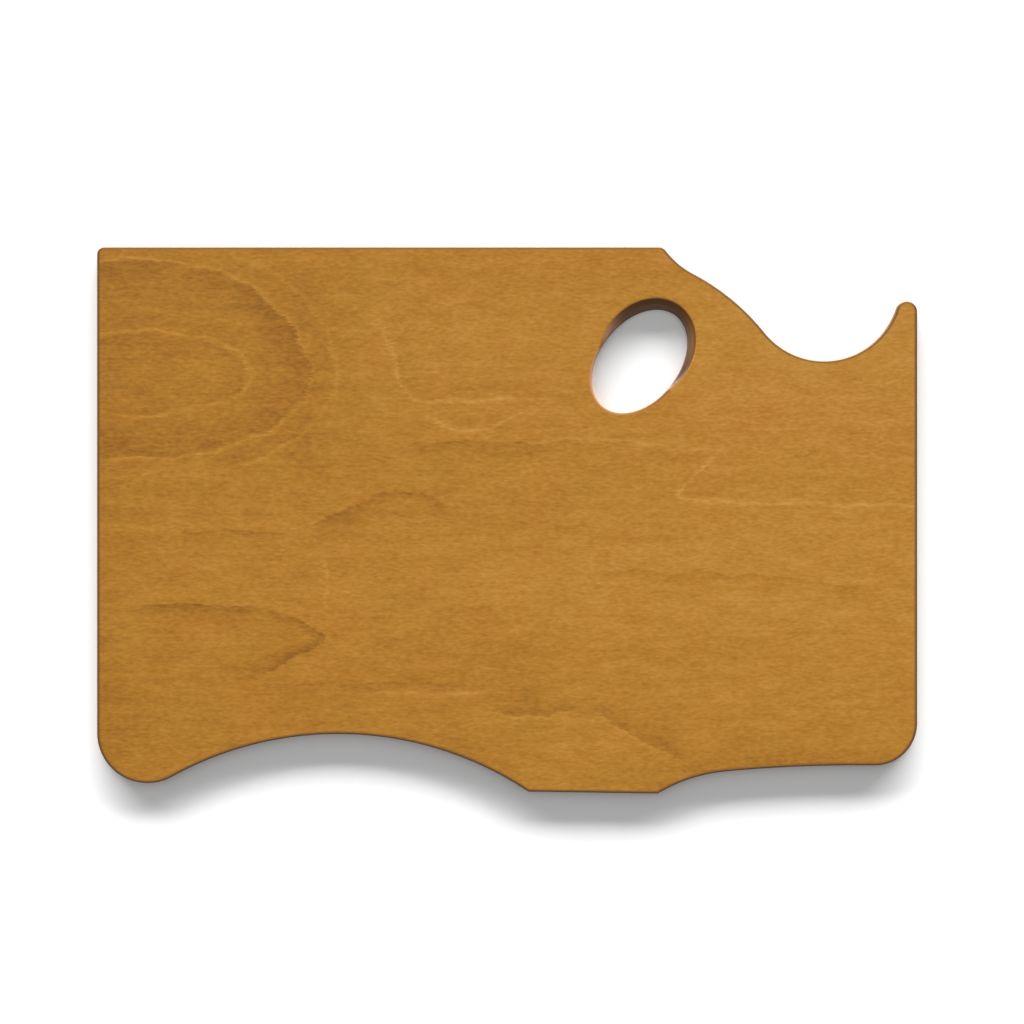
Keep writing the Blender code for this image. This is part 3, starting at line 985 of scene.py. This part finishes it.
def figure_tree():
    """The figure of a flat-sawn face veneer: the tone of its growth lines, from -1, darkest, to 1, palest,
    the tone of its stain patches and of its painted light and shade, and how warm the stain is."""
    inputs = {"Vector": "Vector", "Seed": 0.0}
    outputs = {"Tone": "Float", "Patch": "Float", "Warm": "Float"}
    tree, wires, given = new_tree("ShaderNodeTree", "veneer_figure", inputs, outputs)
    spot, seed = given["Vector"], given["Seed"]

    # Growth lines wander a little, and feather out along the fibres.
    east = wires.noise(spot, WANDER_SCALE, seed=wires.plus(seed, SEED_EAST))
    north = wires.noise(spot, WANDER_SCALE, seed=wires.plus(seed, SEED_NORTH))
    along, across, _ = wires.parts(spot)
    drawn = wires.combined(wires.times(along, FEATHER_STRETCH), across)
    feather = wires.noise(drawn, FEATHER_SCALE, roughness=0.6, seed=seed)
    east = wires.times(wires.minus(east, NOISE_MIDDLE), WANDER_EAST)
    east = wires.times_plus(wires.minus(feather, NOISE_MIDDLE), FEATHER_EAST, east)
    north = wires.times(wires.minus(north, NOISE_MIDDLE), WANDER_NORTH)
    moved = wires.vector("ADD", spot, wires.combined(east, north))
    flat = wires.vector("MULTIPLY", moved, (1.0, 1.0, 0.0))

    fade = wires.noise(spot, FADE_SCALE, seed=wires.plus(seed, SEED_FADE))
    results = {"Tone": wires.times(rings(wires, flat), wires.ramp(fade, *FADE_RANGE))}
    for name, patches in (("Patch", STAIN_AND_PAINTED_LIGHT_PATCHES), ("Warm", WARM_PATCHES)):
        results[name] = 0.0
        for middle, across, high, depth in patches.values():
            found = patch(wires, flat, middle, across, high)
            results[name] = wires.times_plus(found, depth, results[name])
    finish_tree(wires, results)
    return tree


def wood_material(name):
    """An empty wood material, its wires and its shader."""
    material = bpy.data.materials.new(name)
    material.use_nodes = True
    wires = Wires(material.node_tree)
    return material, wires, material.node_tree.nodes["Principled BSDF"]


def surface(wires, shader, colour, fibre, gloss_share, roughness, relief):
    """Feeds a wood's colour to its shader, with gloss and relief that follow its fibre."""
    wires.feed(shader.inputs["Base Color"], colour)
    wires.feed(shader.inputs["Roughness"], wires.times_plus(fibre, gloss_share, roughness))
    bump = wires.node("ShaderNodeBump", {"Height": fibre, "Strength": relief, "Distance": RELIEF_HEIGHT})
    wires.feed(shader.inputs["Normal"], bump.outputs[0])


def sawn_edge(wires, finish, turned):
    """The colour of a sawn edge, darker where the saw cut across the fibres. They run along Y where turned
    is true."""
    east = wires.attribute(FACES_EAST)
    across = wires.minus(1.0, east) if turned else east
    return wires.blend(wires.ramp(across, *END_GRAIN_RANGE), finish.edge_stain, finish.end_grain)


def depth_in_bevel(wires, spot):
    """How far the bevel's stain has thinned out: 0 near the painting face and 1 deep in the sheet."""
    height = wires.parts(spot)[2]
    return wires.ramp(height, SHEET_THICKNESS * STAINED_ABOVE, SHEET_THICKNESS * BARE_BELOW)


def with_bevel_ends(wires, finish, spot, routed):
    """The thumb bevel's colour, with painted shade at its lower end and painted light at the other."""
    # Painted shade at the bevel's lower end, then painted light at its other end
    routed = wires.blend(patch(wires, spot, *PAINTED_SHADE_END), routed, finish.scorched_edge)
    return wires.blend(patch(wires, spot, *PAINTED_LIGHT_END), routed, finish.worn_edge)


def face_material(context, name, seed, turn, shift):
    """Stained and varnished face veneer. Turn and shift place the figure on the sheet."""
    finish = context.scene.palette_finish
    material, wires, shader = wood_material(name)
    spot = wires.node("ShaderNodeTexCoord").outputs["Object"]
    laid = {"Vector": spot, "Rotation": (0.0, 0.0, turn), "Location": (*shift, 0.0)}
    laid = wires.node("ShaderNodeMapping", laid).outputs[0]
    fibres = wires.group(shader_group("wood_fibre", fibre_tree), {"Vector": laid, "Seed": seed}).outputs
    figure = wires.group(shader_group("veneer_figure", figure_tree), {"Vector": laid, "Seed": seed}).outputs
    # The patch tone holds stain tone and painted light and shade
    tone = wires.times_plus(figure["Tone"], RING_TONE, figure["Patch"])
    tone = wires.times_plus(fibres["Fibre"], FIBRE_TONE, tone)
    tone = wires.times_plus(fibres["Mottle"], MOTTLE_TONE, tone)
    tone = wires.times_plus(fibres["Streak"], STREAK_TONE, tone)
    tone = wires.times_plus(fibres["Pore"], PORE_TONE, tone)
    warmth = wires.noise(laid, WARMTH_SCALE, detail=3.0, roughness=0.6, seed=seed + SEED_WARMTH)
    warmth = wires.plus(wires.ramp(warmth, *WARMTH_RANGE), figure["Warm"])
    stained = wires.blend(wires.times(warmth, WARMTH_SHARE), finish.stain, finish.warm_stain)
    stained = wires.blend(wires.clamp(wires.times(tone, -1.0)), stained, finish.dark_grain)
    stained = wires.blend(wires.clamp(tone), stained, finish.pale_grain)

    # The rims and the thumb bevel, with painted light on the thumb hole's wall beside the bevel
    lit_patch = patch(wires, spot, *PAINTED_LIGHT_RIM)
    sawn = wires.blend(lit_patch, sawn_edge(wires, finish, False), finish.worn_edge)
    stained = wires.blend(wires.ramp(wires.attribute(ROUND), 0.0, 1.0), stained, sawn)
    routed = wires.blend(depth_in_bevel(wires, spot), finish.routed_edge, finish.bare_edge)
    routed = with_bevel_ends(wires, finish, spot, routed)
    stained = wires.blend(wires.attribute(BEVELLED), stained, routed)
    surface(wires, shader, stained, fibres["Fibre"], FACE_GLOSS, finish.satin, FACE_RELIEF)
    shader.inputs["IOR"].default_value = finish.varnish_ior
    return material


def inner_material(context, name, seed, turned):
    """The sawn edge of an inner veneer. Its grain runs along Y where turned is true."""
    finish = context.scene.palette_finish
    material, wires, shader = wood_material(name)
    spot = wires.node("ShaderNodeTexCoord").outputs["Object"]
    laid = {"Vector": spot, "Rotation": (0.0, 0.0, math.pi / 2 if turned else 0.0)}
    laid = wires.node("ShaderNodeMapping", laid).outputs[0]
    inputs = {"Vector": laid, "Seed": seed} | EDGE_FIBRE
    fibres = wires.group(shader_group("wood_fibre", fibre_tree), inputs).outputs
    streak = wires.clamp(wires.times_plus(fibres["Fibre"], *EDGE_CONTRAST))
    sawn = sawn_edge(wires, finish, turned)
    stained = wires.blend(streak, sawn, wires.blend(EDGE_DARKENING, sawn, finish.dark_grain))
    bevelled = wires.attribute(BEVELLED)
    bare = wires.times(depth_in_bevel(wires, spot), bevelled)
    stained = wires.blend(bare, stained, finish.bare_edge)
    # Painted shade at the bevel's lower end and painted light at its other end
    stained = wires.blend(bevelled, stained, with_bevel_ends(wires, finish, spot, stained))

    # The glue shows at both sides of the veneer.
    rise = wires.attribute(RISE)
    glued = wires.ramp(wires.times(wires.minus(1.0, rise), rise), *GLUE_RANGE)
    stained = wires.blend(glued, stained, finish.glue)
    surface(wires, shader, stained, fibres["Fibre"], EDGE_GLOSS, finish.sanded, EDGE_RELIEF)
    shader.inputs["Specular IOR Level"].default_value = EDGE_SHINE
    return material


# The two faces: the seed of each, how far its figure is turned, and how far it is shifted
FACES = {
    "front_face_veneer": (2.0, 0.0, (0.0, 0.0)),
    "back_face_veneer": (5.0, math.pi, (0.04, -0.02)),
}


class PALETTE_OT_face_veneers(bpy.types.Operator):
    """Builds the painting face and the back face"""

    bl_idname = "palette.face_veneers"
    bl_label = "Face Veneers"

    def execute(self, context):
        sheet = context.scene.palette_sheet
        for node, (seed, turn, shift) in FACES.items():
            material = face_material(context, "stained_" + node, seed, turn, shift)
            build_veneer(context, node, material, sheet.face_levels, 0.0)
        return {"FINISHED"}


class PALETTE_OT_inner_plies(bpy.types.Operator):
    """Builds the two crossbands and the core, which show at the edges"""

    bl_idname = "palette.inner_plies"
    bl_label = "Inner Plies"

    def execute(self, context):
        sheet = context.scene.palette_sheet
        inner = (("back_crossband", "crossband"), ("core_ply", "core"), ("front_crossband", "crossband"))
        for seed, (node, slot) in enumerate(inner):
            material = inner_material(context, "sawn_" + node, float(seed), slot == "crossband")
            build_veneer(context, node, material, sheet.inner_levels, sheet.recess)
        return {"FINISHED"}


class PALETTE_OT_stage(bpy.types.Operator):
    """Adds the floor, the soft light and the camera"""

    bl_idname = "palette.stage"
    bl_label = "Stage"

    def execute(self, context):
        stage = context.scene.palette_stage
        add_floor(context, stage)
        add_light(context, stage)
        add_camera(context, stage)
        context.scene.view_settings.view_transform = "Standard"
        return {"FINISHED"}


FLOOR_GAP = 0.00002
FLOOR_ROUGHNESS = 0.9


def add_floor(context, stage):
    """A plain pale floor under the palette."""
    half = stage.floor_width / 2
    mesh = bpy.data.meshes.new("floor")
    low = -FLOOR_GAP
    corners = [(-half, -half, low), (half, -half, low), (half, half, low), (-half, half, low)]
    mesh.from_pydata(corners, [], [(0, 1, 2, 3)])
    material = bpy.data.materials.new("pale_floor")
    material.use_nodes = True
    shader = material.node_tree.nodes["Principled BSDF"]
    shader.inputs["Base Color"].default_value = (*stage.floor_colour, 1)
    shader.inputs["Roughness"].default_value = FLOOR_ROUGHNESS
    shader.inputs["Specular IOR Level"].default_value = 0.0
    mesh.materials.append(material)
    floor = bpy.data.objects.new("floor", mesh)
    context.scene.collection.objects.link(floor)


def add_light(context, stage):
    """A long low strip light beyond the top edge, as a row of lamps, and an even dome. The backdrop is as
    pale as the floor."""
    last = stage.strip_lamps - 1
    for place in range(stage.strip_lamps):
        turned = stage.strip_spread * (2 * place / last - 1)
        lamp = bpy.data.lights.new("strip_" + str(place), "SUN")
        lamp.energy = stage.strip_strength
        lamp.angle = stage.strip_softness
        key = bpy.data.objects.new(lamp.name, lamp)
        way = Vector((math.sin(turned), math.cos(turned), stage.strip_rise * math.cos(turned)))
        key.rotation_euler = way.to_track_quat("Z", "Y").to_euler()
        context.scene.collection.objects.link(key)

    world = bpy.data.worlds.new("studio")
    world.use_nodes = True
    wires = Wires(world.node_tree)
    seen = wires.node("ShaderNodeLightPath").outputs["Is Camera Ray"]
    strength = wires.times_plus(seen, stage.backdrop - stage.dome_strength, stage.dome_strength)
    background = world.node_tree.nodes["Background"]
    background.inputs["Color"].default_value = (1, 1, 1, 1)
    wires.feed(background.inputs["Strength"], strength)
    context.scene.world = world


def add_camera(context, stage):
    """Looks straight down at the painting face, with +Y up."""
    lens = bpy.data.cameras.new("camera")
    lens.lens = stage.lens
    lens.clip_end = stage.floor_width
    camera = bpy.data.objects.new("camera", lens)
    height = SHEET_THICKNESS + stage.view_width * stage.lens / lens.sensor_width
    camera.location = (stage.view_centre_x, stage.view_centre_y, height)
    context.scene.collection.objects.link(camera)
    context.scene.camera = camera


class PALETTE_PT_panel(bpy.types.Panel):
    """Lists what the palette is built from"""

    bl_idname = "PALETTE_PT_panel"
    bl_label = "Mixing Palette"
    bl_space_type = "VIEW_3D"
    bl_region_type = "UI"
    bl_category = "Palette"

    def draw(self, context):
        for operator in OPERATORS:
            self.layout.operator(operator.bl_idname)


SETTINGS = {
    "palette_outline": PaletteOutline,
    "palette_thumb": PaletteThumb,
    "palette_sheet": PaletteSheet,
    "palette_finish": PaletteFinish,
    "palette_stage": PaletteStage,
}
OPERATORS = (PALETTE_OT_face_veneers, PALETTE_OT_inner_plies, PALETTE_OT_stage)


def register():
    for name, group in SETTINGS.items():
        bpy.utils.register_class(group)
        setattr(bpy.types.Scene, name, bpy.props.PointerProperty(type=group))
    for entry in (*OPERATORS, PALETTE_PT_panel):
        bpy.utils.register_class(entry)


def unregister():
    for entry in (PALETTE_PT_panel, *reversed(OPERATORS)):
        bpy.utils.unregister_class(entry)
    for name, group in reversed(SETTINGS.items()):
        delattr(bpy.types.Scene, name)
        bpy.utils.unregister_class(group)


def main():
    register()
    bpy.ops.palette.face_veneers()
    bpy.ops.palette.inner_plies()
    bpy.ops.palette.stage()


if __name__ == "__main__":
    main()
